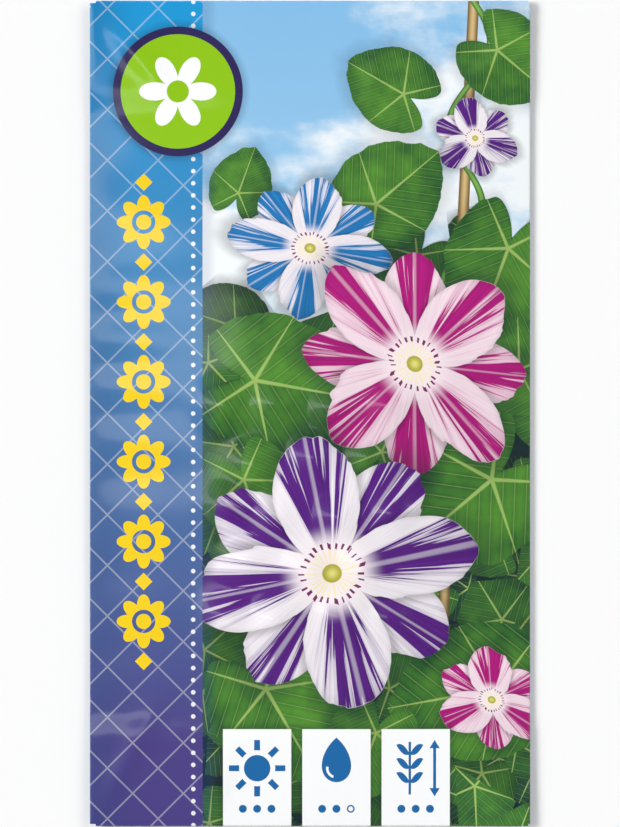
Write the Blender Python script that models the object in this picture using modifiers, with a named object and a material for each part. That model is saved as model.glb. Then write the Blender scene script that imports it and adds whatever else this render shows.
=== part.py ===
"""A paper seed packet, lying face up on its back, with its seeds inside.

The packet is one die-cut sheet of coated paper. Its side lap and its back panel fold round behind
the front, and the back panel is glued over the lap. A flap at each end then folds behind the tube
and is glued on the outside of the back. The seeds lie loose in the pocket and push the front up.

Frame: +Z up, +Y towards the top of the packet, origin on the surface under its middle. Metres.
"""

import math
import random

import bmesh
import bpy
from mathutils import Matrix, Vector

MM = 0.001

# The closed packet, flat.
WIDTH = 80.0 * MM
LENGTH = 150.0 * MM

# The sheet, and the glue line between two layers of it.
PAPER = 0.15 * MM
GLUE_LINE = 0.10 * MM
GLUE_FILM = 0.06 * MM
GLUE_MARGIN = 1.5 * MM
SEAM_GLUE_HALF = 70.0 * MM
PITCH = PAPER + GLUE_LINE

# The panels behind the front.
LAP = 11.0 * MM
LAP_TAPER = 3.0 * MM
BACK_INSET = 0.7 * MM
END_INSET = 0.1 * MM
FLAP = 14.0 * MM
FLAP_HALF_AT_FOLD = 39.0 * MM
FLAP_HALF_AT_EDGE = 35.5 * MM
FLAP_CORNER = 2.5 * MM
CORNER_NOTCH = 0.3 * MM

# How full the packet is. The front is highest over the seeds, below the middle.
DOME = 4.2 * MM
DOME_Y = -18.0 * MM
DOME_ACROSS = 2.6
DOME_ALONG = 3.0

# How far the edges stand off the surface, past a flat middle.
FLAT_HALF_X = 18.0 * MM
FLAT_HALF_Y = 40.0 * MM
LIFT_SIDE = 0.7 * MM
LIFT_END = 0.5 * MM

# Where the back steps up over the flaps.
STEP_START = 54.0 * MM
STEP_END = 59.5 * MM

# Cut lines of the sheets.
COLUMN_STEP = 5.0 * MM
ROW_STEP = 6.0 * MM
FOLD_STEPS = 4

# A seed is an egg-shaped ball cut by two flats, where it lay against its neighbours in the pod.
SEED_HALF_LENGTH = 2.6 * MM
SEED_HALF_DEPTH = 2.0 * MM
SEED_FLAT = 0.75 * MM
SEED_ANGLE = math.radians(68.0)
SEED_FLATS = (Vector((0.0, 0.0, -1.0)), Vector((0.0, -math.sin(SEED_ANGLE), math.cos(SEED_ANGLE))))
SEED_ROUNDING = 9
SEED_SCAR = 0.16
SEED_SCAR_WIDTH = 0.30
SEED_SCAR_SIDE = Vector((0.80, -0.57, -0.15)).normalized()
SEED_CLEARANCE = 0.12 * MM
SEED_ROWS = (4, 3, 4, 3, 4)
SEED_SPACING = 10.5 * MM
SEED_JITTER = 1.1 * MM

# The folds' radii at the middle of the paper, and the flat half widths between them.
RIGHT_RADIUS = PITCH
LEFT_RADIUS = PITCH / 2
FLAP_RADIUS = 1.5 * PITCH
RIGHT_HALF = WIDTH / 2 - RIGHT_RADIUS - PAPER / 2
LEFT_HALF = WIDTH / 2 - LEFT_RADIUS - PAPER / 2
END_HALF = LENGTH / 2 - FLAP_RADIUS - PAPER / 2

# Lines of the flat blank: across it, the lap, the front and the back; along it, the two flaps.
LAP_START = -LEFT_HALF - math.pi * LEFT_RADIUS
LAP_EDGE = LAP_START - LAP
BACK_START = RIGHT_HALF + math.pi * RIGHT_RADIUS
BACK_EDGE = BACK_START + RIGHT_HALF + WIDTH / 2 - BACK_INSET
FLAP_START = END_HALF + math.pi * FLAP_RADIUS
FLAP_EDGE = FLAP_START + FLAP


def clear_scene():
    for obj in list(bpy.data.objects):
        bpy.data.objects.remove(obj)


def material(name, colour, roughness):
    made = bpy.data.materials.new(name)
    made.use_nodes = True
    shader = made.node_tree.nodes["Principled BSDF"]
    shader.inputs["Base Color"].default_value = (*colour, 1.0)
    shader.inputs["Roughness"].default_value = roughness
    shader.inputs["Metallic"].default_value = 0.0
    return made


def smooth_step(value, start, end):
    share = min(1.0, max(0.0, (value - start) / (end - start)))
    return share * share * (3 - 2 * share)


def lift(x, y):
    """Height of the packet's lowest layer off the surface it lies on."""
    side = max(0.0, (abs(x) - FLAT_HALF_X) / (WIDTH / 2 - FLAT_HALF_X))
    end = max(0.0, (abs(y) - FLAT_HALF_Y) / (LENGTH / 2 - FLAT_HALF_Y))
    return LIFT_SIDE * side**2 + LIFT_END * end**2


def back_level(x, y):
    """Middle of the back panel, which steps up by one layer over each flap."""
    return lift(x, y) + PAPER / 2 + PITCH * smooth_step(abs(y), STEP_START, STEP_END)


def dome(x, y):
    """How far the seeds push the front away from the back."""
    across = min(1.0, abs(x) / (RIGHT_HALF if x > 0 else LEFT_HALF))
    reach = END_HALF - DOME_Y if y > DOME_Y else END_HALF + DOME_Y
    along = min(1.0, abs(y - DOME_Y) / reach)
    return DOME * (1 - across**DOME_ACROSS) * (1 - along**DOME_ALONG)


def fold_across(s):
    """A line s across the blank: its x, its height over the back panel, and if it is the front."""
    if s > BACK_START:
        return RIGHT_HALF - (s - BACK_START), 0.0, False
    if s > RIGHT_HALF:
        turn = (s - RIGHT_HALF) / RIGHT_RADIUS
        height = 2 * PITCH - RIGHT_RADIUS * (1 - math.cos(turn))
        return RIGHT_HALF + RIGHT_RADIUS * math.sin(turn), height, False
    if s < LAP_START:
        return -LEFT_HALF + (LAP_START - s), PITCH, False
    if s < -LEFT_HALF:
        turn = (-LEFT_HALF - s) / LEFT_RADIUS
        height = 2 * PITCH - LEFT_RADIUS * (1 - math.cos(turn))
        return -LEFT_HALF - LEFT_RADIUS * math.sin(turn), height, False
    return s, 2 * PITCH, True


def fold_along(t):
    """A line t along the blank: its y, and how far it drops behind the front."""
    over = abs(t) - END_HALF
    if over <= 0:
        return t, 0.0
    if abs(t) < FLAP_START:
        turn = over / FLAP_RADIUS
        y = END_HALF + FLAP_RADIUS * math.sin(turn)
        drop = FLAP_RADIUS * (1 - math.cos(turn))
    else:
        y = END_HALF - (abs(t) - FLAP_START)
        drop = 3 * PITCH
    return math.copysign(y, t), drop


def folded(s, t):
    """Where a point of the flat blank lies in the glued packet."""
    x, height, is_front = fold_across(s)
    y, drop = fold_along(t)
    bulge = dome(x, y) if is_front and drop == 0.0 else 0.0
    return Vector((x, y, back_level(x, y) + height - drop + bulge))


def flap_outline(side):
    """One flap's free edge and round corners, from +s to -s for the top and back for the bottom."""
    corners = []
    centre_s = FLAP_HALF_AT_EDGE - FLAP_CORNER
    centre_t = FLAP_EDGE - FLAP_CORNER
    for step in range(5):
        turn = math.radians(90.0 * step / 4)
        corners.append((centre_s + FLAP_CORNER * math.cos(turn), centre_t + FLAP_CORNER * math.sin(turn)))
    right = [(FLAP_HALF_AT_FOLD, FLAP_START), *corners]
    left = [(-s, t) for s, t in reversed(right)]
    return [(side * s, side * t) for s, t in right + left]


def blank_outline():
    """The die-cut sheet, anticlockwise."""
    end = END_HALF - END_INSET
    notch = FLAP_HALF_AT_FOLD + CORNER_NOTCH
    right = [(BACK_EDGE, -end + LAP_TAPER / 2), (BACK_EDGE, end - LAP_TAPER / 2)]
    right += [(BACK_EDGE - LAP_TAPER / 2, end), (RIGHT_HALF, end), (notch, END_HALF)]
    left = [(-notch, END_HALF), (-LEFT_HALF, end), (LAP_START, end), (LAP_EDGE, end - LAP_TAPER)]
    low_left = [(s, -t) for s, t in reversed(left)]
    low_right = [(notch, -END_HALF), (RIGHT_HALF, -end), (BACK_EDGE - LAP_TAPER / 2, -end)]
    return right + flap_outline(1) + left + low_left + flap_outline(-1) + low_right


def lines_between(start, end, step):
    count = max(1, round(abs(end - start) / step))
    return [start + (end - start) * i / count for i in range(count + 1)]


def column_lines():
    folds = []
    for start, end in ((LAP_START, -LEFT_HALF), (RIGHT_HALF, BACK_START)):
        folds += lines_between(start, end, abs(end - start) / FOLD_STEPS)
    panels = lines_between(LAP_EDGE, LAP_START, COLUMN_STEP)
    panels += lines_between(-LEFT_HALF, RIGHT_HALF, COLUMN_STEP)
    panels += lines_between(BACK_START, BACK_EDGE, COLUMN_STEP)
    return folds + panels


def row_lines():
    half = lines_between(0.0, STEP_START, ROW_STEP)
    half += lines_between(STEP_START, STEP_END, (STEP_END - STEP_START) / 2)
    half += lines_between(STEP_END, END_HALF, ROW_STEP)
    half += lines_between(END_HALF, FLAP_START, (FLAP_START - END_HALF) / FOLD_STEPS)
    half += lines_between(FLAP_START, FLAP_EDGE, FLAP / 2)
    return half + [-line for line in half]


def cut_sheet(name, outline, columns, rows):
    """A flat sheet of that outline, cut along the lines so that it can fold and curve there."""
    sheet = bmesh.new()
    sheet.faces.new([sheet.verts.new((s, t, 0.0)) for s, t in outline])
    for axis, lines in (((1, 0, 0), columns), ((0, 1, 0), rows)):
        for line in sorted(set(lines)):
            everything = [*sheet.verts, *sheet.edges, *sheet.faces]
            bmesh.ops.bisect_plane(
                sheet, geom=everything, dist=1e-6, plane_co=Vector(axis) * line, plane_no=axis
            )
    bmesh.ops.recalc_face_normals(sheet, faces=sheet.faces)
    mesh = bpy.data.meshes.new(name)
    sheet.to_mesh(mesh)
    sheet.free()
    return mesh


def add_node(collection, name, mesh, finish):
    obj = bpy.data.objects.new(name, mesh)
    obj.data.materials.append(finish)
    collection.objects.link(obj)
    return obj


def thicken(obj, thickness):
    solid = obj.modifiers.new("thickness", "SOLIDIFY")
    solid.thickness = thickness
    solid.offset = 0.0
    solid.use_even_offset = True


def add_packet(collection, finish):
    mesh = cut_sheet("packet_paper", blank_outline(), column_lines(), row_lines())
    for vertex in mesh.vertices:
        vertex.co = folded(vertex.co.x, vertex.co.y)
    packet = add_node(collection, "packet_paper", mesh, finish)
    thicken(packet, PAPER)
    mesh.shade_smooth()
    mesh.set_sharp_from_angle(angle=math.radians(40.0))
    return packet


def add_glue(collection, name, finish, low, high, height):
    """A film of glue between two layers, height above or below the back panel's middle."""
    outline = [(low[0], low[1]), (high[0], low[1]), (high[0], high[1]), (low[0], high[1])]
    mesh = cut_sheet(name, outline, column_lines(), row_lines())
    for vertex in mesh.vertices:
        vertex.co.z = back_level(vertex.co.x, vertex.co.y) + height
    film = add_node(collection, name, mesh, finish)
    thicken(film, GLUE_FILM)
    return film


def add_glue_films(collection, finish):
    seam_low = (-WIDTH / 2 + GLUE_MARGIN, -SEAM_GLUE_HALF)
    seam_high = (-WIDTH / 2 + LAP - GLUE_MARGIN, SEAM_GLUE_HALF)
    add_glue(collection, "side_seam_glue", finish, seam_low, seam_high, PITCH / 2)
    half = FLAP_HALF_AT_EDGE - FLAP_CORNER
    far = END_HALF - 1.5 * GLUE_MARGIN
    near = END_HALF - FLAP + GLUE_MARGIN
    add_glue(collection, "top_flap_glue", finish, (-half, near), (half, far), -PITCH / 2)
    add_glue(collection, "bottom_flap_glue", finish, (-half, -far), (half, -near), -PITCH / 2)


def seed_radius(direction):
    """From a seed's middle to its coat, with rounded edges and a dent where it hung in the pod."""
    across = (direction.y**2 + direction.z**2) / SEED_HALF_DEPTH**2
    reaches = [(direction.x**2 / SEED_HALF_LENGTH**2 + across) ** -0.5]
    for normal in SEED_FLATS:
        towards = direction.dot(normal)
        if towards > 0.05:
            reaches.append(SEED_FLAT / towards)
    reach = sum(each**-SEED_ROUNDING for each in reaches) ** (-1 / SEED_ROUNDING)
    from_scar = direction.angle(SEED_SCAR_SIDE) / SEED_SCAR_WIDTH
    return reach * (1 - SEED_SCAR * math.exp(-(from_scar**2)))


def seed_mesh(name, size):
    seed = bmesh.new()
    ridge_up = Matrix.Rotation((SEED_ANGLE - math.pi) / 2, 4, "X") @ Matrix.Rotation(math.pi / 2, 4, "Y")
    bmesh.ops.create_uvsphere(seed, u_segments=16, v_segments=10, radius=1.0, matrix=ridge_up)
    for vertex in seed.verts:
        direction = vertex.co.normalized()
        vertex.co = direction * seed_radius(direction) * size
    bmesh.ops.recalc_face_normals(seed, faces=seed.faces)
    mesh = bpy.data.meshes.new(name)
    seed.to_mesh(mesh)
    seed.free()
    mesh.shade_smooth()
    return mesh


def add_seeds(collection, finish):
    """The seeds in staggered rows, each turned and shifted a little, on the back panel."""
    draw = random.Random(12)
    number = 0
    for row, count in enumerate(SEED_ROWS):
        for column in range(count):
            number += 1
            x = (column - (count - 1) / 2) * SEED_SPACING + draw.uniform(-SEED_JITTER, SEED_JITTER)
            y = DOME_Y + (row - 2) * SEED_SPACING * 0.92 + draw.uniform(-SEED_JITTER, SEED_JITTER)
            turn = draw.uniform(0.0, 2 * math.pi)
            name = f"seed_{number:02d}"
            seed = add_node(collection, name, seed_mesh(name, draw.uniform(0.9, 1.0)), finish)
            outward = math.copysign(SEED_HALF_LENGTH, x)
            paper = back_level(x + outward, y) + PAPER / 2
            underside = min(vertex.co.z for vertex in seed.data.vertices)
            seed.location = (x, y, paper - underside + SEED_CLEARANCE)
            seed.rotation_euler = (0.0, 0.0, turn)


def main():
    clear_scene()
    collection = bpy.data.collections.new("seed_packet")
    bpy.context.scene.collection.children.link(collection)
    paper = material("printed_paper", (0.62, 0.78, 0.90), 0.35)
    glue = material("dry_glue", (0.90, 0.88, 0.80), 0.40)
    seed_coat = material("seed_coat", (0.045, 0.032, 0.025), 0.80)
    add_packet(collection, paper)
    add_glue_films(collection, glue)
    add_seeds(collection, seed_coat)


main()
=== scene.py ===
import math

import bpy
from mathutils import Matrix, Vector


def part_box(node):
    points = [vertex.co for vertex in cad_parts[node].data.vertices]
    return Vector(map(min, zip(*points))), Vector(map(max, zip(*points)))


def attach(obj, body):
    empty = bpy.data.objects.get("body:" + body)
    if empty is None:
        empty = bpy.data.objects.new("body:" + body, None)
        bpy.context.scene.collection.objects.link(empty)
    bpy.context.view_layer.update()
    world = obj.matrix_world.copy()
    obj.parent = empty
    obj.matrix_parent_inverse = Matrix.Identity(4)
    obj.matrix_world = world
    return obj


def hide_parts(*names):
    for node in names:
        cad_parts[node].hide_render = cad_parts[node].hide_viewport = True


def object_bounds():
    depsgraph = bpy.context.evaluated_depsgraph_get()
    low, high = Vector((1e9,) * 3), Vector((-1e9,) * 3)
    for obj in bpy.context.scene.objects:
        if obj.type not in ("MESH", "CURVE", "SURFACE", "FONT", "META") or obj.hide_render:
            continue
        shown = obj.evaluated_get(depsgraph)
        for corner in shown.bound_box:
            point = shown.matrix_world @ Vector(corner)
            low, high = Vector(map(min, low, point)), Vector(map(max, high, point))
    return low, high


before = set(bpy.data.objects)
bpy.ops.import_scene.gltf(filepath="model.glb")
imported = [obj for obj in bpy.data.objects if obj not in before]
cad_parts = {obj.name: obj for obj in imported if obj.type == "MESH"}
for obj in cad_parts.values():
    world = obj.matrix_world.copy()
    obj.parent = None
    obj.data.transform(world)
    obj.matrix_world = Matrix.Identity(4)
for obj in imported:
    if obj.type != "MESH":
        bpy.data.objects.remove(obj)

cad_low, cad_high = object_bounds()


# The packet's paper: one die-cut sheet of 100 g/m2 paper, printed and laminated on its outer side
# and white inside. It is folded round a flat former, so the front carries a narrow lap behind the
# left edge, the back panel behind the right edge, and a flap behind each end.

MM = 0.001
width = 80.0 * MM
length = 150.0 * MM
paper = 0.15 * MM
pitch = 0.25 * MM
lap = 11.0 * MM
lap_taper = 3.0 * MM
back_inset = 0.7 * MM
end_inset = 0.1 * MM
flap = 14.0 * MM
flap_half_at_fold = 39.0 * MM
flap_half_at_edge = 35.5 * MM
flap_corner = 2.5 * MM
corner_notch = 0.3 * MM
right_radius = pitch
left_radius = pitch / 2
flap_radius = 1.5 * pitch
right_half = width / 2 - right_radius - paper / 2
left_half = width / 2 - left_radius - paper / 2
end_half = length / 2 - flap_radius - paper / 2
lap_start = -left_half - math.pi * left_radius
lap_edge = lap_start - lap
back_start = right_half + math.pi * right_radius
back_edge = back_start + right_half + width / 2 - back_inset
flap_start = end_half + math.pi * flap_radius
flap_edge = flap_start + flap
front_step = 0.85 * MM
back_step = 1.7 * MM
flat_half_x = 18.0 * MM
flat_half_y = 40.0 * MM
lift_side = 0.7 * MM
lift_end = 0.5 * MM
step_start = 54.0 * MM
step_end = 59.5 * MM
dome_height = 4.2 * MM
dome_y = -18.0 * MM
dome_across = 2.6
dome_along = 3.0
between_seeds = 0.785
seed_bump = 0.85 * MM
seed_reach = 3.5 * MM
ridge_height = 0.46 * MM
ridge_half = 1.3 * MM
ridge_widens = 0.05
ridge_start = 1.0 * MM
ridge_full = 7.0 * MM
# Where each crease starts, how far it leans from the width, how long it runs, and its strength.
ridges = [
    (39 * MM, 74 * MM, 1.02, 30 * MM, 1.0),
    (-39 * MM, 74 * MM, 0.86, 26 * MM, 1.0),
    (39 * MM, -74 * MM, 0.80, 24 * MM, 1.0),
    (-39 * MM, -74 * MM, 1.10, 30 * MM, 1.0),
    (14 * MM, 74 * MM, 1.40, 22 * MM, 0.8),
    (-17 * MM, -74 * MM, 1.45, 18 * MM, 0.7),
]
pucker_height = 0.40 * MM
end_pucker_share = 0.4
end_pucker_reach = 9 * MM
end_pucker_wave = 3.1 * MM
end_pucker_drift = 17 * MM
side_pucker_wave = 1.9 * MM
side_pucker_drift = 11 * MM
seed_places = []
for node in sorted(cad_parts):
    if node.startswith("seed_"):
        low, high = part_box(node)
        seed_places.append((low + high) / 2)


def smooth_share(value, start, end):
    share = min(1.0, max(0.0, (value - start) / (end - start)))
    return share * share * (3 - 2 * share)


def back_level(x, y):
    side = max(0.0, (abs(x) - flat_half_x) / (width / 2 - flat_half_x))
    end = max(0.0, (abs(y) - flat_half_y) / (length / 2 - flat_half_y))
    step = pitch * smooth_share(abs(y), step_start, step_end)
    return lift_side * side**2 + lift_end * end**2 + paper / 2 + step


def ridge(x, y, start_x, start_y, lean, run):
    """A soft crease that runs in from a corner or an end, where the full pocket pulls on the glue."""
    along_x = math.cos(lean) * -math.copysign(1, start_x)
    along_y = math.sin(lean) * -math.copysign(1, start_y)
    dx = x - start_x
    dy = y - start_y
    along = dx * along_x + dy * along_y
    off = dx * along_y - dy * along_x
    here = math.exp(-((off / (ridge_half + ridge_widens * abs(along))) ** 2))
    fading = 1 - smooth_share(along, 0.4 * run, run)
    return here * smooth_share(along, ridge_start, ridge_full) * fading


def front_rise(x, y):
    """How far the front stands off the back: the dome of the filled pocket, a soft bump over each
    seed, the creases at the corners, and puckers along the folds, where flat paper takes up the
    dome."""
    across = min(1.0, abs(x) / (right_half if x > 0 else left_half))
    to_end = end_half - dome_y if y > dome_y else end_half + dome_y
    along = min(1.0, abs(y - dome_y) / to_end)
    swell = (1 - across**dome_across) * (1 - along**dome_along)
    bumps = 0.0
    for place in seed_places:
        apart = ((x - place.x) ** 2 + (y - place.y) ** 2) / seed_reach**2
        bumps += math.exp(-apart) ** 2
    bumps = math.sqrt(bumps)
    creases = 0.0
    for start_x, start_y, lean, run, strength in ridges:
        creases += strength * ridge(x, y, start_x, start_y, lean, run)
    near_end = math.exp(-(end_half - abs(y)) / end_pucker_reach)
    end_drift = 1.3 * math.sin(y / end_pucker_drift)
    end_waves = 0.5 + 0.5 * math.sin(x / end_pucker_wave + end_drift)
    near_side = math.exp(-5 * (1 - across)) * (1 - along**2)
    side_drift = 2.1 * math.sin(y / side_pucker_drift + math.copysign(0.8, x))
    side_waves = 0.5 + 0.5 * math.sin(y / side_pucker_wave + side_drift)
    puckers = end_pucker_share * near_end * end_waves + near_side * side_waves
    relief = seed_bump * bumps + ridge_height * creases + pucker_height * puckers
    off_folds = (1 - across**8) * (1 - min(1.0, abs(y) / end_half) ** 30)
    return dome_height * swell * between_seeds + off_folds * relief


def fold_across(s):
    """A line s across the blank: its x, its height over the back panel, and if it is the front."""
    if s > back_start:
        return right_half - (s - back_start), 0.0, False
    if s > right_half:
        turn = (s - right_half) / right_radius
        height = 2 * pitch - right_radius * (1 - math.cos(turn))
        return right_half + right_radius * math.sin(turn), height, False
    if s < lap_start:
        return -left_half + (lap_start - s), pitch, False
    if s < -left_half:
        turn = (-left_half - s) / left_radius
        height = 2 * pitch - left_radius * (1 - math.cos(turn))
        return -left_half - left_radius * math.sin(turn), height, False
    return s, 2 * pitch, True


def fold_along(t):
    """A line t along the blank: its y, and how far it drops behind the front."""
    past_fold = abs(t) - end_half
    if past_fold <= 0:
        return t, 0.0
    if abs(t) < flap_start:
        turn = past_fold / flap_radius
        y = end_half + flap_radius * math.sin(turn)
        return math.copysign(y, t), flap_radius * (1 - math.cos(turn))
    return math.copysign(end_half - (abs(t) - flap_start), t), 3 * pitch


def lines(start, end, step):
    count = max(1, round((end - start) / step))
    return [start + (end - start) * i / count for i in range(count)]


left_fold_step = left_radius * math.pi / 6
right_fold_step = right_radius * math.pi / 8
flap_fold_step = flap_radius * math.pi / 8
corner_step = flap_corner / 5
columns = lines(lap_edge, lap_start, back_step) + lines(lap_start, -left_half, left_fold_step)
columns += lines(-left_half, right_half, front_step) + lines(right_half, back_start, right_fold_step)
columns += lines(back_start, back_edge, back_step) + [back_edge]
rows = lines(-flap_edge, -flap_edge + flap_corner, corner_step)
rows += lines(-flap_edge + flap_corner, -flap_start, back_step)
rows += lines(-flap_start, -end_half, flap_fold_step) + lines(-end_half, end_half, front_step)
rows += lines(end_half, flap_start, flap_fold_step)
rows += lines(flap_start, flap_edge - flap_corner, back_step)
rows += lines(flap_edge - flap_corner, flap_edge, corner_step) + [flap_edge]

bpy.ops.object.select_all(action="DESELECT")
bpy.ops.mesh.primitive_grid_add(x_subdivisions=len(columns) - 1, y_subdivisions=len(rows) - 1, size=2)
sheet = bpy.context.object
sheet.name = "printed_packet"
sheet_mesh = sheet.data
for vertex in sheet_mesh.vertices:
    column = round((vertex.co.x + 1) / 2 * (len(columns) - 1))
    row = round((vertex.co.y + 1) / 2 * (len(rows) - 1))
    vertex.co = (columns[column], rows[row], 0.0)

flap_side = flap_half_at_fold + corner_notch
strips = 6
band_edge = -19.5 * MM
band_overlap = 0.6 * MM
bpy.ops.object.mode_set(mode="EDIT")
bpy.ops.mesh.select_mode(type="FACE")
bpy.ops.mesh.select_all(action="DESELECT")
bpy.ops.object.mode_set(mode="OBJECT")
# The material slots: one for each strip of the front, then the band, then the back.
for polygon in sheet_mesh.polygons:
    s, t = polygon.center.xy
    polygon.select = abs(t) > end_half and abs(s) > flap_side
    on_front = (lap_start - left_half) / 2 < s < (right_half + back_start) / 2 and abs(t) < flap_start
    strip = min(strips - 1, max(0, int((t + end_half) / (2 * end_half / strips))))
    if not on_front:
        polygon.material_index = strips + 1
    elif s < band_edge - band_overlap:
        polygon.material_index = strips
    else:
        polygon.material_index = strip
bpy.ops.object.mode_set(mode="EDIT")
bpy.ops.mesh.delete(type="FACE")
bpy.ops.object.mode_set(mode="OBJECT")

blank = sheet_mesh.attributes.new("blank", "FLOAT_VECTOR", "POINT")
for vertex in sheet_mesh.vertices:
    s, t = vertex.co.x, vertex.co.y
    if abs(t) > end_half:
        share = min(1.0, (abs(t) - end_half) / (flap_start - end_half))
        half = flap_side - corner_notch * share
        if abs(t) > flap_start:
            down = (abs(t) - flap_start) / flap
            half = flap_half_at_fold + (flap_half_at_edge - flap_half_at_fold) * down
            into_corner = max(0.0, abs(t) - (flap_edge - flap_corner))
            half -= flap_corner - math.sqrt(max(0.0, flap_corner**2 - into_corner**2))
        s *= half / flap_side
    elif s < -left_half or s > right_half:
        end = end_half - end_inset
        if s < lap_start:
            end -= lap_taper * (lap_start - s) / lap
        t *= end / end_half
    x, height, is_front = fold_across(s)
    y, drop = fold_along(t)
    rise = front_rise(x, y) if is_front and drop == 0.0 else 0.0
    blank.data[vertex.index].vector = (s / MM, t / MM, 0.0)
    vertex.co = (x, y, back_level(x, y) + height - drop + rise)


# The print's drawing tools: small node-building functions and the groups that draw a bloom, a
# leaf and a growing sign. The print is worked out on the flat blank, in millimetres from the
# middle of the front.


def feed(tree, socket, value):
    if isinstance(value, bpy.types.NodeSocket):
        tree.links.new(value, socket)
    elif socket.type == "RGBA" and len(value) == 3:
        socket.default_value = (*value, 1.0)
    else:
        socket.default_value = value


def calc(tree, operation, *values, clamp=False):
    node = tree.nodes.new("ShaderNodeMath")
    node.operation = operation
    node.use_clamp = clamp
    for socket, value in zip(node.inputs, values):
        feed(tree, socket, value)
    return node.outputs[0]


def vector_calc(tree, operation, *values):
    node = tree.nodes.new("ShaderNodeVectorMath")
    node.operation = operation
    sockets = (node.inputs[0], node.inputs["Scale"]) if operation == "SCALE" else node.inputs
    for socket, value in zip(sockets, values):
        feed(tree, socket, value)
    return node.outputs["Value" if operation == "LENGTH" else "Vector"]


def plus(tree, total, *values):
    for value in values:
        total = calc(tree, "ADD", total, value)
    return total


def times(tree, product, *values):
    for value in values:
        product = calc(tree, "MULTIPLY", product, value)
    return product


def minus(tree, value, less):
    return calc(tree, "SUBTRACT", value, less)


def far(tree, value, middle=0.0):
    """How far value is from middle, on either side."""
    return calc(tree, "ABSOLUTE", minus(tree, value, middle))


def reach(tree, x, y):
    return calc(tree, "SQRT", plus(tree, times(tree, x, x), times(tree, y, y)))


def cosine_step(tree, angle, count):
    return calc(tree, "ABSOLUTE", calc(tree, "COSINE", times(tree, angle, count)))


def between(tree, value, start, end, low=0.0, high=1.0, smooth=True):
    """value brought from start..end to low..high, and held there beyond."""
    node = tree.nodes.new("ShaderNodeMapRange")
    node.interpolation_type = "SMOOTHSTEP" if smooth else "LINEAR"
    for socket, given in zip(node.inputs, (value, start, end, low, high)):
        feed(tree, socket, given)
    return node.outputs["Result"]


def inside(tree, value, edge=0.0, blur=0.05, share=1.0):
    """share where value is below edge and nothing above it, with a soft step."""
    return between(tree, value, edge - blur, edge + blur, share, 0.0)


def over(tree, share, under, top, mode="MIX"):
    node = tree.nodes.new("ShaderNodeMix")
    node.data_type = "RGBA"
    node.blend_type = mode
    feed(tree, node.inputs[0], share)
    feed(tree, node.inputs[6], under)
    feed(tree, node.inputs[7], top)
    return node.outputs[2]


def noise(tree, place, scale, detail=2.0, roughness=0.5):
    node = tree.nodes.new("ShaderNodeTexNoise")
    feed(tree, node.inputs["Vector"], place)
    feed(tree, node.inputs["Scale"], scale)
    feed(tree, node.inputs["Detail"], detail)
    feed(tree, node.inputs["Roughness"], roughness)
    return node.outputs["Fac"]


def split(tree, vector):
    node = tree.nodes.new("ShaderNodeSeparateXYZ")
    feed(tree, node.inputs[0], vector)
    return node.outputs[0], node.outputs[1]


def join(tree, x, y, z=0.0):
    node = tree.nodes.new("ShaderNodeCombineXYZ")
    for socket, value in zip(node.inputs, (x, y, z)):
        feed(tree, socket, value)
    return node.outputs[0]


def shaded(tree, colour, share):
    return over(tree, 1.0, colour, join(tree, share, share, share), "MULTIPLY")


def new_group(name, inputs, outputs):
    """A shader group whose sockets are given as "Name Kind"."""
    tree = bpy.data.node_groups.new(name, "ShaderNodeTree")
    for in_out, sockets in (("INPUT", inputs), ("OUTPUT", outputs)):
        for socket in sockets:
            label, kind = socket.split()
            tree.interface.new_socket(label, in_out=in_out, socket_type="NodeSocket" + kind)
    return tree, tree.nodes.new("NodeGroupInput").outputs


def end_group(tree, **results):
    node = tree.nodes.new("NodeGroupOutput")
    for label, value in results.items():
        feed(tree, node.inputs[label], value)


def use_group(tree, group, **values):
    node = tree.nodes.new("ShaderNodeGroup")
    node.node_tree = group
    for label, value in values.items():
        feed(tree, node.inputs[label], value)
    return node.outputs


def centred(tree, given, width, height):
    """The place seen from the motif's middle, turned with it and in shares of its size."""
    node = tree.nodes.new("ShaderNodeVectorRotate")
    node.rotation_type = "Z_AXIS"
    feed(tree, node.inputs["Vector"], vector_calc(tree, "SUBTRACT", given["Place"], given["Middle"]))
    feed(tree, node.inputs["Angle"], given["Turn"])
    spot = vector_calc(tree, "DIVIDE", node.outputs[0], join(tree, width, height, 1.0))
    spot_x, spot_y = split(tree, spot)
    return spot, vector_calc(tree, "LENGTH", spot), spot_x, spot_y


def new_material(name):
    made = bpy.data.materials.new(name)
    made.use_nodes = True
    return made, made.node_tree, made.node_tree.nodes["Principled BSDF"]


def add_relief(tree, shader, height, strength, distance):
    """A fine relief that only the light shows, as deep as distance in metres."""
    bump = tree.nodes.new("ShaderNodeBump")
    bump.inputs["Strength"].default_value = strength
    bump.inputs["Distance"].default_value = distance
    tree.links.new(height, bump.inputs["Height"])
    tree.links.new(bump.outputs["Normal"], shader.inputs["Normal"])


def ink(red, green, blue):
    """A printed colour in the 0 to 255 steps of a screen, as the linear value that shaders take."""
    shares = [step / 255 for step in (red, green, blue)]
    return tuple(c / 12.92 if c <= 0.04 else ((c + 0.055) / 1.055) ** 2.4 for c in shares)


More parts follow.
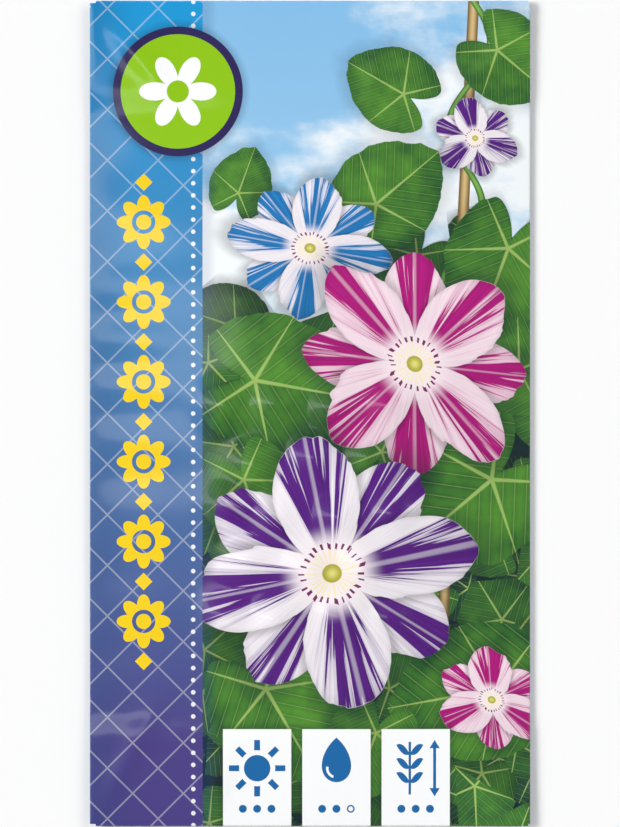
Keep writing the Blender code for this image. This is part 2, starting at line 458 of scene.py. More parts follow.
# A bloom: a ring of petals on top, and a second ring that shows in the gaps between them.
bloom_group, given = new_group(
    "bloom",
    ["Place Vector", "Middle Vector", "Size Float", "Turn Float", "Squash Float", "Petals Float",
     "Bar Color", "Ground Color", "Throat Color", "Streaks Float", "Seed Float"],
    ["Color Color", "Mask Float", "Shade Float"],
)
tree = bloom_group
spot, out, spot_x, spot_y = centred(tree, given, given["Size"], times(tree, given["Size"], given["Squash"]))
angle = calc(tree, "ARCTAN2", spot_y, spot_x)
heading = vector_calc(tree, "NORMALIZE", spot)
wobble = noise(tree, vector_calc(tree, "ADD", heading, join(tree, 0.0, 0.0, given["Seed"])), 3.1, 3.0, 0.55)
wave = plus(tree, times(tree, angle, given["Petals"]), times(tree, wobble, 0.9), -0.45)
top_middle = calc(tree, "COSINE", wave)
ruffle = calc(tree, "MULTIPLY_ADD", wobble, 0.16, 0.88)


def petal_rim(middle_share, size):
    """The edge of a ring of petals: broad at the base, a little pointed, with clefts between."""
    body = calc(tree, "SQRT", calc(tree, "MULTIPLY_ADD", middle_share, 0.5, 0.5, clamp=True))
    point = calc(tree, "SQRT", calc(tree, "MULTIPLY_ADD", middle_share, -0.5, 0.5, clamp=True))
    return times(tree, plus(tree, times(tree, body, 0.66), times(tree, point, -0.11), 0.34), ruffle, size)


top_ratio = calc(tree, "DIVIDE", out, petal_rim(top_middle, 1.0))
under_middle = times(tree, top_middle, -1.0)
under_ratio = calc(tree, "DIVIDE", out, petal_rim(under_middle, 0.93))
is_top = between(tree, top_ratio, 0.990, 1.0, 1.0, 0.0)
mask = calc(tree, "MAXIMUM", is_top, between(tree, under_ratio, 0.990, 1.0, 1.0, 0.0))
shade = between(tree, calc(tree, "MINIMUM", top_ratio, under_ratio), 0.96, 1.26, 1.0, 0.0)
petal_middle = times(tree, top_middle, calc(tree, "MULTIPLY_ADD", is_top, 2.0, -1.0))
is_under = minus(tree, 1.0, is_top)
ratio = plus(tree, times(tree, top_ratio, is_top), times(tree, under_ratio, is_under))

# The bars and streaks that run out along each petal.
level = join(tree, 0.0, 0.0, calc(tree, "MULTIPLY_ADD", out, 0.55, given["Seed"]))
streak_place = vector_calc(tree, "ADD", vector_calc(tree, "SCALE", heading, 11.0), level)
streak = noise(tree, streak_place, 1.0, 3.0, 0.66)
vein_place = vector_calc(tree, "ADD", vector_calc(tree, "SCALE", heading, 40.0), level)
vein = noise(tree, vein_place, 1.0, 2.0, 0.6)
bar_share = calc(tree, "POWER", calc(tree, "MULTIPLY_ADD", petal_middle, 0.5, 0.5, clamp=True), 2.0)
loose = times(tree, calc(tree, "MULTIPLY_ADD", streak, 2.2, -1.1), given["Streaks"])
strength = plus(tree, times(tree, bar_share, 0.95), loose, calc(tree, "MULTIPLY_ADD", vein, 0.8, -0.4))
strength = minus(tree, strength, between(tree, ratio, 0.18, 0.98, 0.50, 0.72))
past_throat = between(tree, out, 0.16, 0.34)
wash = times(tree, between(tree, strength, -0.42, 0.04, 0.0, 0.38), past_throat)
stripes = times(tree, between(tree, strength, 0.0, 0.09), past_throat)
fine = plus(tree, times(tree, vein, 0.30), times(tree, streak, 0.20), 0.74)
colour = over(tree, wash, shaded(tree, given["Ground"], fine), given["Bar"])
deep = shaded(tree, given["Bar"], calc(tree, "MULTIPLY_ADD", vein, 0.9, 0.42))
colour = over(tree, stripes, colour, deep)

# The pale rib, the light on the petals' folds, and the pale throat.
side = times(tree, calc(tree, "DIVIDE", calc(tree, "ARCCOSINE", petal_middle), given["Petals"]), out)
crease = times(tree, between(tree, side, 0.004, 0.018, 0.34, 0.0), between(tree, ratio, 0.1, 0.3))
colour = over(tree, crease, colour, given["Ground"])
lit = times(tree, minus(tree, spot_y, spot_x), 0.06)
folds = plus(tree, times(tree, petal_middle, 0.06), 0.94, lit)
folds = times(tree, folds, between(tree, ratio, 0.90, 1.0, 1.0, 0.86))
folds = times(tree, folds, calc(tree, "MAXIMUM", between(tree, top_ratio, 1.0, 1.30, 0.62, 1.0), is_top))
colour = over(tree, between(tree, out, 0.08, 0.36, 0.9, 0.0), shaded(tree, colour, folds), given["Throat"])

# The ring of fine threads with dark tips, round a small green heart.
around = plus(tree, times(tree, wobble, 5.0), times(tree, angle, 13.0))
threads = calc(tree, "ABSOLUTE", calc(tree, "SINE", around))
thread = times(tree, minus(tree, 1.0, threads), between(tree, out, 0.10, 0.27, 1.0, 0.0))
colour = over(tree, between(tree, thread, 0.35, 0.6), colour, ink(250, 238, 190))
at_tips = calc(tree, "COMPARE", calc(tree, "MULTIPLY_ADD", wobble, 0.10, out), 0.245, 0.02)
colour = over(tree, times(tree, calc(tree, "LESS_THAN", threads, 0.5), at_tips), colour, ink(122, 48, 96))
heart = over(tree, between(tree, out, 0.0, 0.062), ink(232, 226, 128), ink(176, 170, 58))
colour = over(tree, between(tree, out, 0.060, 0.068, 1.0, 0.0), colour, heart)
end_group(tree, Color=colour, Mask=mask, Shade=shade)

# A heart-shaped leaf with ribs from its stalk and fine branches between them.
leaf_group, given = new_group(
    "heart leaf",
    ["Place Vector", "Middle Vector", "Size Float", "Turn Float", "Light Color", "Dark Color", "Seed Float"],
    ["Color Color", "Mask Float", "Shade Float"],
)
tree = leaf_group
spot, out, spot_x, spot_y = centred(tree, given, given["Size"], given["Size"])
turn_share = far(tree, calc(tree, "DIVIDE", calc(tree, "ARCTAN2", spot_x, spot_y), math.pi))
tip = calc(tree, "POWER", calc(tree, "SUBTRACT", 1.0, turn_share, clamp=True), 3.2)
notch = between(tree, turn_share, 0.80, 1.0, 1.0, 0.22)
mottle = noise(tree, vector_calc(tree, "ADD", spot, join(tree, given["Seed"], given["Seed"])), 3.4, 3.0)
waves = calc(tree, "MULTIPLY_ADD", mottle, 0.16, 0.92)
rim = times(tree, calc(tree, "MULTIPLY_ADD", tip, 0.42, 0.58), notch, waves)
ratio = calc(tree, "DIVIDE", out, rim)
mask = between(tree, ratio, 0.985, 1.0, 1.0, 0.0)
shade = between(tree, ratio, 0.95, 1.30, 1.0, 0.0)
taper = calc(tree, "MULTIPLY_ADD", ratio, -0.85, 1.05)
rib = calc(tree, "DIVIDE", times(tree, calc(tree, "PINGPONG", turn_share, 0.19), out), taper)
ribs = between(tree, rib, 0.003, 0.008, 0.62, 0.0)
branch = minus(tree, spot_y, times(tree, far(tree, spot_x), 0.9))
bulge = calc(tree, "ABSOLUTE", calc(tree, "SINE", times(tree, branch, 23.0)))
branches = between(tree, bulge, 0.04, 0.20, 0.26, 0.0)
tone = plus(tree, times(tree, bulge, 0.20), times(tree, mottle, 0.9), -0.06)
tone = minus(tree, tone, between(tree, ratio, 0.55, 1.0, 0.0, 0.22))
tone = calc(tree, "SUBTRACT", tone, between(tree, spot_x, -0.02, 0.02, 0.0, 0.16), clamp=True)
colour = over(tree, tone, given["Dark"], given["Light"])
colour = over(tree, calc(tree, "MAXIMUM", ribs, branches), colour, ink(186, 214, 120))
end_group(tree, Color=colour, Mask=mask, Shade=shade)

# The three growing signs by number: 0 a sun, 1 a drop, 2 a leafy stalk with a height arrow.
sign_group, given = new_group(
    "growing sign",
    ["Place Vector", "Middle Vector", "Size Float", "Turn Float", "Number Float"],
    ["Mask Float"],
)
tree = sign_group
_, out, spot_x, spot_y = centred(tree, given, given["Size"], given["Size"])
turn = calc(tree, "ARCTAN2", spot_x, spot_y)
beams = times(tree, calc(tree, "ABSOLUTE", calc(tree, "SINE", times(tree, turn, 4.0))), out)
beams = times(tree, calc(tree, "LESS_THAN", beams, 0.42), calc(tree, "COMPARE", out, 0.86, 0.19))
sun = calc(tree, "MAXIMUM", beams, inside(tree, out, 0.49, 0.01))
from_tip = calc(tree, "SUBTRACT", 1.0, calc(tree, "DIVIDE", far(tree, turn), math.pi), clamp=True)
drop_edge = calc(tree, "MULTIPLY_ADD", calc(tree, "POWER", from_tip, 5.0), 0.62, 0.52)
gleam = times(tree, calc(tree, "COMPARE", out, 0.34, 0.045), calc(tree, "COMPARE", turn, -2.1, 0.7))
drop = calc(tree, "SUBTRACT", inside(tree, minus(tree, out, drop_edge), 0.0, 0.01), gleam, clamp=True)
far_y = far(tree, spot_y)
head = times(tree, minus(tree, 1.05, far_y), calc(tree, "GREATER_THAN", far_y, 0.74), 0.62)
post = times(tree, calc(tree, "LESS_THAN", far_y, 0.9), 0.055)
arrow = calc(tree, "LESS_THAN", far(tree, spot_x, 0.70), calc(tree, "MAXIMUM", head, post))
stalk_x = far(tree, spot_x, -0.22)
stalk = times(tree, calc(tree, "LESS_THAN", stalk_x, 0.045), calc(tree, "LESS_THAN", far_y, 0.98))
blade_y = far(tree, calc(tree, "WRAP", minus(tree, spot_y, times(tree, stalk_x, 0.7)), 0.26, -0.26))
blade_half = times(tree, stalk_x, calc(tree, "MULTIPLY_ADD", stalk_x, -2.0, 1.0), 1.25)
blades = times(tree, calc(tree, "LESS_THAN", blade_y, blade_half), calc(tree, "COMPARE", spot_y, 0.16, 0.80))
plant = calc(tree, "MAXIMUM", arrow, calc(tree, "MAXIMUM", stalk, blades))
mask = 0.0
for number, sign in enumerate((sun, drop, plant)):
    mask = plus(tree, times(tree, sign, calc(tree, "COMPARE", given["Number"], float(number), 0.5)), mask)
end_group(tree, Mask=mask)


# The front's print: a sky over a bed of leaves, a garland of barred blooms beside a cane, a band
# with yellow rosettes, a round lime badge, and three white tiles with growing signs. It is printed
# in strips, each with only the leaves and blooms that reach into it.

sky_top = ink(132, 190, 233)
sky_low = ink(180, 219, 244)
cloud = ink(246, 251, 254)
leaf_light = ink(98, 164, 52)
leaf_dark = ink(26, 80, 40)
bed_light = ink(76, 140, 50)
bed_dark = ink(22, 64, 44)
deep_light = ink(44, 96, 56)
deep_dark = ink(14, 40, 42)
soft_shadow = ink(14, 34, 40)
violet = ink(91, 30, 135)
magenta = ink(181, 20, 127)
blue = ink(30, 124, 192)
pale_petal = ink(250, 244, 250)
blush_petal = ink(252, 228, 239)
throat = ink(253, 240, 244)
band_top = ink(19, 154, 217)
band_middle = ink(66, 126, 178)
band_low = ink(75, 64, 133)
band_dark = ink(24, 66, 122)
yellow = ink(246, 209, 12)
lime = ink(143, 198, 5)
dark_violet = ink(42, 31, 87)
white = ink(252, 253, 254)
sign_blue = ink(24, 104, 168)
# A leaf: x, y, size and turn. A bloom: also its squash, petals a ring, bar, ground and streaks.
garland = [
    ("leaf", 34, 66, 13, 130),
    ("leaf", 17, 58, 12, -60),
    ("leaf", -13, 40, 9, 20),
    ("bloom", 30, 50, 8.5, 20, 0.92, 3.0, violet, pale_petal, 0.8),
    ("leaf", 12, 38, 15, 50),
    ("leaf", 36, 30, 17, -160),
    ("leaf", 38, 8, 14, -70),
    ("bloom", 0, 30, 16.0, 10, 0.86, 4.0, blue, pale_petal, 1.0),
    ("leaf", -10, 6, 20, 100),
    ("leaf", 33, -12, 21, -130),
    ("leaf", -12, -12, 14, 160),
    ("leaf", -8, -50, 19, 150),
    ("leaf", 34, -50, 20, -100),
    ("leaf", 12, -58, 13, 200),
    ("leaf", 13, -7, 12, 25),
    ("bloom", 19, 9, 24.0, 48, 0.90, 4.0, magenta, blush_petal, 1.0),
    ("bloom", 4, -29, 28.0, -12, 0.94, 4.0, violet, pale_petal, 1.1),
    ("bloom", 33, -52, 11.5, 30, 0.85, 3.0, magenta, blush_petal, 1.0),
]
motif_reach = 1.32
bed_top = 26.0
strip_height = 2 * end_half / strips / MM
past_end = 3.0
front_roughness = 0.42
front_coat = 0.50


def print_material(name, roughness, coat):
    """A laminated print: its node tree, its shader, and the place on the flat blank in mm."""
    made, tree, shader = new_material(name)
    shader.inputs["Roughness"].default_value = roughness
    shader.inputs["Specular IOR Level"].default_value = 0.2
    shader.inputs["Coat Weight"].default_value = coat
    shader.inputs["Coat Roughness"].default_value = 0.10
    place = tree.nodes.new("ShaderNodeAttribute")
    place.attribute_name = "blank"
    sheet_mesh.materials.append(made)
    return tree, shader, place.outputs["Vector"]


# The laminate: small white spots rubbed along the folds, most at the corners, and a fine grain.
laminate_group, given = new_group(
    "laminate", ["Place Vector", "Ink Color", "Side Float"], ["Color Color", "Height Float"]
)
tree = laminate_group
s, t = split(tree, given["Place"])
from_side = far(tree, s, given["Side"])
from_end = far(tree, far(tree, t), length / 2 / MM)
corner = between(tree, reach(tree, from_side, from_end), 0.5, 5.0, 1.6, 1.0)
rub = noise(tree, given["Place"], 0.9, 5.0, 0.7)
colour = given["Ink"]
for from_fold in (from_side, from_end):
    near = times(tree, between(tree, from_fold, 0.05, 0.55, 0.20, 0.0), corner)
    rubbed = between(tree, plus(tree, rub, near), 0.86, 0.92, 0.0, 0.7)
    colour = over(tree, rubbed, colour, ink(246, 246, 248))
end_group(tree, Color=colour, Height=noise(tree, given["Place"], 2.6, 4.0, 0.6))


def finish_print(tree, shader, place, picture, side):
    """The picture under its laminate, whose side fold lies at side on the blank, in mm."""
    laminate = use_group(tree, laminate_group, Place=place, Ink=picture, Side=side)
    tree.links.new(laminate["Color"], shader.inputs["Base Color"])
    add_relief(tree, shader, laminate["Height"], 0.16, 0.0001)


def draw_sky(tree, s, t):
    sky = over(tree, between(tree, t, -30.0, 75.0, smooth=False), sky_low, sky_top)
    drift = join(tree, times(tree, s, 0.022), times(tree, t, 0.036), 3.7)
    return over(tree, between(tree, noise(tree, drift, 1.0, 6.0, 0.56), 0.45, 0.60), sky, cloud)


def draw_bed(tree, place, picture, scale, shift, light, dark, top):
    """A layer of small leaves, one in each cell of a scattered grid, each turned its own way."""
    moved = vector_calc(tree, "ADD", place, shift)
    cells = tree.nodes.new("ShaderNodeTexVoronoi")
    cells.voronoi_dimensions = "2D"
    feed(tree, cells.inputs["Vector"], moved)
    feed(tree, cells.inputs["Scale"], scale)
    turn_draw, tone_draw = split(tree, cells.outputs["Color"])
    leaf = use_group(
        tree, leaf_group, Place=moved, Middle=cells.outputs["Position"], Size=1.0 / scale,
        Turn=times(tree, turn_draw, math.tau), Light=light, Dark=dark, Seed=times(tree, tone_draw, 9.0),
    )
    centre_x, centre_y = split(tree, cells.outputs["Position"])
    height = plus(tree, centre_y, times(tree, centre_x, -0.3), times(tree, tone_draw, 16.0))
    there = calc(tree, "LESS_THAN", height, top + shift[1])
    picture = over(tree, times(tree, leaf["Shade"], there, 0.45), picture, soft_shadow)
    colour = shaded(tree, leaf["Color"], calc(tree, "MULTIPLY_ADD", tone_draw, 0.5, 0.65))
    return over(tree, times(tree, leaf["Mask"], there), picture, colour)


def draw_ground(tree, place, picture, s, t):
    line = plus(tree, t, times(tree, s, -0.3), times(tree, noise(tree, place, 0.09, 3.0), 14.0))
    picture = over(tree, inside(tree, line, -2.0, 2.5), picture, deep_dark)
    picture = draw_bed(tree, place, picture, 0.115, (3.0, 40.0, 0.0), deep_light, deep_dark, 12.0)
    return draw_bed(tree, place, picture, 0.085, (70.0, 20.0, 0.0), bed_light, bed_dark, 8.0)


def draw_cane(tree, picture, s, t):
    cane_x = calc(tree, "MULTIPLY_ADD", t, 0.05, 26.0)
    from_cane = far(tree, s, cane_x)
    cane_colour = over(tree, between(tree, from_cane, 0.0, 1.0), ink(214, 186, 128), ink(120, 92, 52))
    picture = over(tree, inside(tree, from_cane, 1.0), picture, cane_colour)
    twine = calc(tree, "MULTIPLY_ADD", calc(tree, "SINE", times(tree, t, 0.21)), 3.4, cane_x)
    from_twine = far(tree, s, twine)
    stem_colour = over(tree, between(tree, from_twine, 0.0, 0.7), ink(130, 184, 84), ink(58, 112, 44))
    return over(tree, inside(tree, from_twine, 0.67), picture, stem_colour)


def draw_motif(tree, place, picture, kind, x, y, size, turn, *bloom):
    """One leaf or bloom printed over the picture, with a soft dark edge round it."""
    values = {"Place": place, "Middle": (x, y, 0.0), "Size": size, "Turn": math.radians(turn)}
    if kind == "leaf":
        values.update(Light=leaf_light, Dark=leaf_dark, Seed=x * 0.37 + y * 0.11)
        motif = use_group(tree, leaf_group, **values)
    else:
        squash, petals, bar, ground, streaks = bloom
        values.update(Squash=squash, Petals=petals, Bar=bar, Ground=ground, Streaks=streaks)
        motif = use_group(tree, bloom_group, Throat=throat, Seed=x * 0.21 + y, **values)
    depth = 0.24 if kind == "leaf" else 0.42
    picture = over(tree, times(tree, motif["Shade"], depth), picture, soft_shadow)
    return over(tree, motif["Mask"], picture, motif["Color"])


def draw_trellis(tree, colour, s, t, share):
    slants = []
    for slant in (plus(tree, s, t), minus(tree, s, t)):
        slants.append(calc(tree, "PINGPONG", slant, 4.6))
    return over(tree, inside(tree, calc(tree, "MINIMUM", *slants), 0.21, 0.05, share), colour, white)


def draw_band(tree, s, t):
    """The band: its colours, a white trellis, and a dotted line inside its edge."""
    colour = over(tree, between(tree, t, 10.0, 75.0, smooth=False), band_middle, band_top)
    colour = over(tree, between(tree, t, 10.0, -60.0, smooth=False), colour, band_low)
    colour = over(tree, between(tree, s, -30.0, -40.0, 0.0, 0.35), colour, band_dark)
    colour = draw_trellis(tree, colour, s, t, 0.24)
    dot = reach(tree, plus(tree, s, 21.2), calc(tree, "WRAP", t, 1.1, -1.1))
    return over(tree, inside(tree, dot, 0.41, 0.04, 0.85), colour, white)


def draw_rosettes(tree, picture, s, t):
    """A column of rosettes with a diamond between each two."""
    column_s = -30.2
    column_t = -1.5
    column_half = 45.2
    diamond_t = -45.0
    half_apart = 7.25
    column_x = minus(tree, s, column_s)
    row = far(tree, calc(tree, "WRAP", minus(tree, t, diamond_t), half_apart, -half_apart))
    row = minus(tree, half_apart, row)
    out = reach(tree, row, column_x)
    petal = cosine_step(tree, calc(tree, "ARCTAN2", row, column_x), 4.0)
    from_edge = minus(tree, out, calc(tree, "MULTIPLY_ADD", petal, 1.7, 3.2))
    rosette = times(tree, inside(tree, from_edge), between(tree, far(tree, out, 1.75), 0.32, 0.42))
    diamond = plus(tree, far(tree, column_x), minus(tree, half_apart, row))
    ornament = calc(tree, "MAXIMUM", rosette, inside(tree, diamond, 1.6))
    in_column = calc(tree, "COMPARE", t, column_t, column_half)
    return over(tree, times(tree, ornament, in_column), picture, yellow)


def draw_tiles(tree, place, picture, s, t):
    """Three white tiles, each with a growing sign over a row of three dots that tells how much."""
    first_x = -9.6
    tiles_apart = 14.4
    tile_t = -66.4
    tile_half_width = 6.2
    tile_half_height = 9.1
    sign_t = -64.4
    sign_size = 4.9
    dots_t = -71.8
    dot_size = 0.72
    hole_size = 0.44
    half_dot_step = 1.3
    row_half = 3.9
    for number, full_dots in enumerate((3, 2, 3)):
        x = first_x + tiles_apart * number
        off_x = minus(tree, s, x)
        across = minus(tree, far(tree, off_x), tile_half_width)
        along = minus(tree, far(tree, t, tile_t), tile_half_height)
        edge = calc(tree, "MAXIMUM", across, along)
        picture = over(tree, between(tree, edge, 0.0, 1.5, 0.35, 0.0), picture, soft_shadow)
        sign = use_group(
            tree, sign_group, Place=place, Middle=(x, sign_t, 0.0), Size=sign_size, Number=float(number)
        )
        dot_x = calc(tree, "WRAP", off_x, half_dot_step, -half_dot_step)
        dot = reach(tree, dot_x, minus(tree, t, dots_t))
        dots = times(tree, inside(tree, dot, dot_size), inside(tree, far(tree, off_x), row_half))
        is_open = calc(tree, "GREATER_THAN", off_x, 2 * half_dot_step * full_dots - row_half)
        dots = minus(tree, dots, times(tree, inside(tree, dot, hole_size), is_open))
        marks = calc(tree, "MAXIMUM", sign["Mask"], dots, clamp=True)
        picture = over(tree, inside(tree, edge), picture, over(tree, marks, white, sign_blue))
    return picture


def draw_badge(tree, picture, s, t):
    """A lime disc in a dark ring, with a white daisy."""
    badge_s = -24.0
    badge_t = 58.5
    ring_size = 11.8
    disc_size = 10.4
    badge_x = minus(tree, s, badge_s)
    badge_y = minus(tree, t, badge_t)
    out = reach(tree, badge_x, badge_y)
    picture = over(tree, between(tree, out, 11.5, 13.5, 0.35, 0.0), picture, soft_shadow)
    picture = over(tree, inside(tree, out, ring_size), picture, dark_violet)
    picture = over(tree, inside(tree, out, disc_size), picture, lime)
    petal = cosine_step(tree, calc(tree, "ARCTAN2", badge_y, badge_x), 3.0)
    from_edge = minus(tree, out, calc(tree, "MULTIPLY_ADD", petal, 4.4, 2.6))
    daisy = times(tree, inside(tree, from_edge), between(tree, out, 1.95, 2.05))
    return over(tree, daisy, picture, white)


for strip in range(strips):
    tree, shader, place = print_material(f"printed front {strip + 1}", front_roughness, front_coat)
    s, t = split(tree, place)
    low = -end_half / MM + strip * strip_height - (past_end if strip == 0 else 0.0)
    high = -end_half / MM + (strip + 1) * strip_height + (past_end if strip == strips - 1 else 0.0)
    picture = draw_sky(tree, s, t)
    if low < bed_top:
        picture = draw_ground(tree, place, picture, s, t)
    picture = draw_cane(tree, picture, s, t)
    for kind, x, y, size, *rest in garland:
        if y + motif_reach * size > low and y - motif_reach * size < high:
            picture = draw_motif(tree, place, picture, kind, x, y, size, *rest)
    picture = over(tree, between(tree, s, -19.0, -16.5, 0.22, 0.0), picture, band_dark)
    picture = over(tree, inside(tree, s, band_edge / MM), picture, draw_band(tree, s, t))
    if strip == 0:
        picture = draw_tiles(tree, place, picture, s, t)
    if strip >= strips - 2:
        picture = draw_badge(tree, picture, s, t)
    finish_print(tree, shader, place, picture, right_half / MM + 0.3)

tree, shader, place = print_material("printed band", front_roughness, front_coat)
s, t = split(tree, place)
picture = draw_badge(tree, draw_rosettes(tree, draw_band(tree, s, t), s, t), s, t)
finish_print(tree, shader, place, picture, -left_half / MM - 0.2)


# The back's print: pale blue with a faint trellis, a head strip of blooms, a calendar of twelve
# cells, a row of the growing signs and a bare white panel. The flaps and the glue lap are the
# same sheet, in the band's colours.

tree, shader, place = print_material("printed back", roughness=0.44, coat=0.45)
s, t = split(tree, place)
panel_middle = (back_start + back_edge) / 2 / MM
u = minus(tree, s, panel_middle)
off_u = far(tree, u)
colour = over(tree, between(tree, t, -75.0, 75.0, smooth=False), ink(206, 220, 238), ink(232, 243, 251))
colour = draw_trellis(tree, colour, u, t, 0.5)

head_t = 50.0
head_half_width = 34.0
head_half_height = 7.0
half_bloom_step = 6.8
head_across = minus(tree, off_u, head_half_width)
head_edge = calc(tree, "MAXIMUM", minus(tree, far(tree, t, head_t), head_half_height), head_across)
head_share = between(tree, u, -head_half_width, head_half_width, smooth=False)
head_colour = over(tree, head_share, band_top, band_low)
bloom_x = calc(tree, "WRAP", u, half_bloom_step, -half_bloom_step)
bloom_y = minus(tree, t, head_t)
out = reach(tree, bloom_x, bloom_y)
petal = cosine_step(tree, calc(tree, "ARCTAN2", bloom_y, bloom_x), 4.0)
bloom_mask = inside(tree, minus(tree, out, calc(tree, "MULTIPLY_ADD", petal, 1.5, 2.9)))
bloom_mask = times(tree, bloom_mask, between(tree, out, 1.15, 1.25))
colour = over(tree, inside(tree, head_edge), colour, over(tree, bloom_mask, head_colour, yellow))

cells_t = 28.0
cell_width = 11.0
cell_height = 8.0
half_cell_width = cell_width / 2
half_cell_height = cell_height / 2
column = calc(tree, "FLOOR", calc(tree, "DIVIDE", plus(tree, u, 3 * cell_width), cell_width))
is_low_row = calc(tree, "LESS_THAN", t, cells_t)
month = plus(tree, times(tree, is_low_row, 6.0), column)
in_cell_x = calc(tree, "WRAP", plus(tree, u, half_cell_width), half_cell_width, -half_cell_width)
in_cell_y = minus(tree, t, cells_t + half_cell_height)
in_cell_y = calc(tree, "WRAP", in_cell_y, half_cell_height, -half_cell_height)
past_side = minus(tree, far(tree, in_cell_x), half_cell_width)
past_top = minus(tree, far(tree, in_cell_y), half_cell_height)
cell_edge = calc(tree, "MAXIMUM", past_side, past_top)
cell_colour = over(tree, calc(tree, "COMPARE", month, 4.0, 1.1), white, lime)
cell_colour = over(tree, calc(tree, "COMPARE", month, 7.5, 1.6), cell_colour, ink(214, 84, 160))
cell_colour = over(tree, inside(tree, cell_edge, -0.25, 0.04), sign_blue, cell_colour)
in_rows = calc(tree, "COMPARE", t, cells_t, cell_height)
in_cells = times(tree, calc(tree, "LESS_THAN", off_u, 3 * cell_width), in_rows)
colour = over(tree, in_cells, colour, cell_colour)

signs_t = 4.0
signs_apart = 22.0
ring_size = 8.6
disc_size = 8.1
sign_size = 5.2
for number in range(3):
    middle = (panel_middle + signs_apart * (number - 1), signs_t, 0.0)
    apart = vector_calc(tree, "LENGTH", vector_calc(tree, "SUBTRACT", place, middle))
    colour = over(tree, inside(tree, apart, ring_size), colour, sign_blue)
    colour = over(tree, inside(tree, apart, disc_size), colour, white)
    sign = use_group(
        tree, sign_group, Place=place, Middle=middle, Size=sign_size, Number=float(number)
    )
    colour = over(tree, sign["Mask"], colour, sign_blue)

panel_t = -32.0
panel_half_width = 33.0
panel_half_height = 23.0
panel_line = 0.34
panel_along = minus(tree, far(tree, t, panel_t), panel_half_height)
panel_edge = calc(tree, "MAXIMUM", minus(tree, off_u, panel_half_width), panel_along)
colour = over(tree, inside(tree, panel_edge), colour, sign_blue)
colour = over(tree, inside(tree, panel_edge, -panel_line), colour, white)
on_flap = between(tree, far(tree, t), 75.0, 75.2)
colour = over(tree, on_flap, colour, over(tree, between(tree, t, -1.0, 1.0), band_low, band_top))
on_lap = calc(tree, "LESS_THAN", s, -left_half / MM)
colour = over(tree, on_lap, colour, band_middle)
finish_print(tree, shader, place, colour, back_start / MM - 0.3)

inside_paper, tree, shader = new_material("white inside")
blank_place = tree.nodes.new("ShaderNodeAttribute")
blank_place.attribute_name = "blank"
fibre = noise(tree, blank_place.outputs["Vector"], 1.4, 5.0, 0.6)
tree.links.new(over(tree, fibre, ink(236, 234, 228), ink(250, 249, 246)), shader.inputs["Base Color"])
shader.inputs["Roughness"].default_value = 0.85
sheet_mesh.materials.append(inside_paper)

solid = sheet.modifiers.new("paper thickness", "SOLIDIFY")
solid.thickness = paper
solid.offset = 0.0
solid.use_even_offset = True
last_slot = len(sheet_mesh.materials) - 1
solid.material_offset = last_slot
solid.material_offset_rim = last_slot
bpy.ops.object.modifier_apply(modifier=solid.name)
bpy.ops.object.shade_smooth_by_angle(angle=math.radians(50))
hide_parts("packet_paper")
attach(sheet, "root")


# The glue: three films of dried white dispersion glue, between the lap and the back panel and
# under the two flaps.


def dress(nodes, finish):
    for node in nodes:
        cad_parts[node].data.materials.clear()
        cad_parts[node].data.materials.append(finish)


glue, tree, shader = new_material("dried glue")
coordinates = tree.nodes.new("ShaderNodeTexCoord")
dabs = noise(tree, coordinates.outputs["Object"], 900.0, 3.0, 0.5)
tree.links.new(over(tree, dabs, ink(214, 206, 180), ink(240, 236, 222)), shader.inputs["Base Color"])
tree.links.new(between(tree, dabs, 0.3, 0.7, 0.25, 0.55), shader.inputs["Roughness"])
dress(("side_seam_glue", "top_flap_glue", "bottom_flap_glue"), glue)


# The seeds: hard brown-black morning glory seeds with a dull, finely pitted coat, loose in the
# pocket.

coat, tree, shader = new_material("seed coat")
coordinates = tree.nodes.new("ShaderNodeTexCoord")
pits_and_pit_shade = noise(tree, coordinates.outputs["Object"], 5200.0, 3.0, 0.6)
patches = noise(tree, coordinates.outputs["Object"], 420.0, 2.0, 0.5)
coat_colour = over(tree, patches, ink(38, 28, 22), ink(74, 58, 44))
# Darkest brown where the pitted relief sinks in: painted shade in the pits, from the same noise that gives
# the relief.
coat_colour = over(tree, between(tree, pits_and_pit_shade, 0.35, 0.65), ink(24, 18, 15), coat_colour)
tree.links.new(coat_colour, shader.inputs["Base Color"])
tree.links.new(between(tree, pits_and_pit_shade, 0.3, 0.7, 0.9, 0.68), shader.inputs["Roughness"])
add_relief(tree, shader, pits_and_pit_shade, 0.5, 0.00006)
dress([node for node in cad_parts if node.startswith("seed_")], coat)


# The studio: a plain white floor, two wide soft lights, a strip lamp for the gloss and a dim even
# room, with the camera straight above, as the photograph looks straight at the front.

bpy.ops.object.select_all(action="DESELECT")
floor_size = 30.0
bpy.ops.mesh.primitive_plane_add(size=floor_size, location=(0.0, 0.0, cad_low.z))
floor = bpy.context.object
floor.name = "floor"
floor_paint, tree, shader = new_material("floor paint")
shader.inputs["Base Color"].default_value = (0.95, 0.95, 0.95, 1.0)
shader.inputs["Roughness"].default_value = 0.9
floor.data.materials.append(floor_paint)

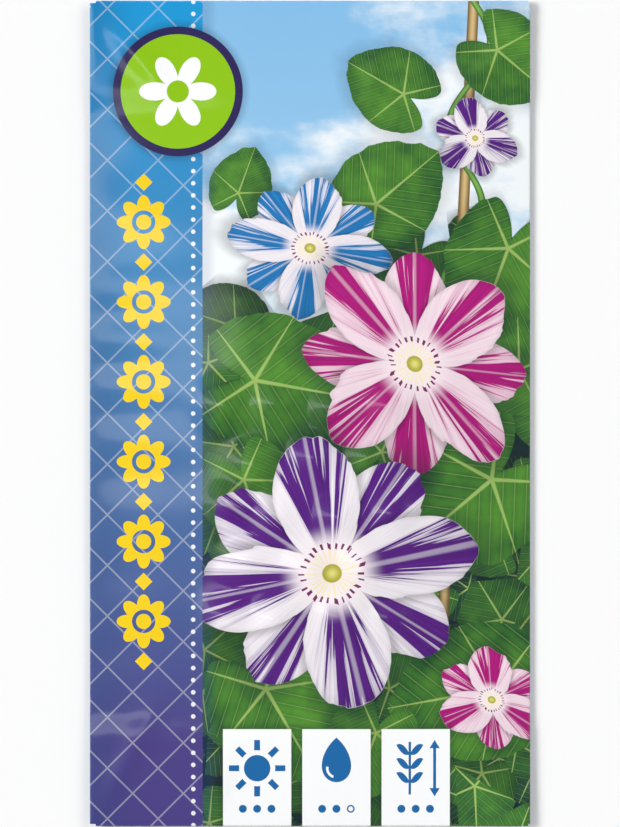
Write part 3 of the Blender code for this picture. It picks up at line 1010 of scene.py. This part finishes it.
# Each light: where it comes from, how wide it is in degrees, and its strength.
suns = [("key", (-0.80, 0.15, 0.80), 26.0, 2.0), ("fill", (0.75, 0.35, 0.85), 36.0, 0.62)]
for name, towards, spread, power in suns:
    lamp = bpy.data.lights.new(name, "SUN")
    lamp.angle = math.radians(spread)
    lamp.energy = power
    lamp_object = bpy.data.objects.new(name, lamp)
    lamp_object.location = towards
    lamp_object.rotation_euler = Vector(towards).to_track_quat("Z", "Y").to_euler()
    bpy.context.scene.collection.objects.link(lamp_object)

strip_lamp = bpy.data.lights.new("strip", "AREA")
strip_lamp.shape = "RECTANGLE"
strip_lamp.size = 0.12
strip_lamp.size_y = 0.9
strip_lamp.energy = 1.4
strip_object = bpy.data.objects.new("strip", strip_lamp)
strip_object.location = (-0.52, 0.10, 1.10)
strip_object.rotation_euler = strip_object.location.to_track_quat("Z", "Y").to_euler()
bpy.context.scene.collection.objects.link(strip_object)

room = bpy.data.worlds.new("room")
room.use_nodes = True
tree = room.node_tree
direction = tree.nodes.new("ShaderNodeTexCoord")
height = tree.nodes.new("ShaderNodeSeparateXYZ")
tree.links.new(direction.outputs["Generated"], height.inputs[0])
room_light = tree.nodes["Background"]
room_light.inputs["Color"].default_value = (1.0, 1.0, 1.0, 1.0)
glow = between(tree, height.outputs["Z"], 0.70, 0.97, 0.46, 0.14)
seen = tree.nodes.new("ShaderNodeLightPath").outputs["Is Camera Ray"]
tree.links.new(calc(tree, "MAXIMUM", glow, seen), room_light.inputs["Strength"])
bpy.context.scene.world = room
bpy.context.scene.view_settings.view_transform = "Standard"

frame_height = 150.4 * MM
camera_height = 1.6
camera = bpy.data.cameras.new("camera")
camera.sensor_fit = "VERTICAL"
camera.sensor_height = 36.0
camera.lens = camera.sensor_height * camera_height / frame_height
camera.clip_start = 0.01
camera.clip_end = 20.0
camera_object = bpy.data.objects.new("camera", camera)
camera_object.location = (0.0, 0.0, camera_height)
camera_object.rotation_euler = (0.0, 0.0, 0.0)
bpy.context.scene.collection.objects.link(camera_object)
bpy.context.scene.camera = camera_object
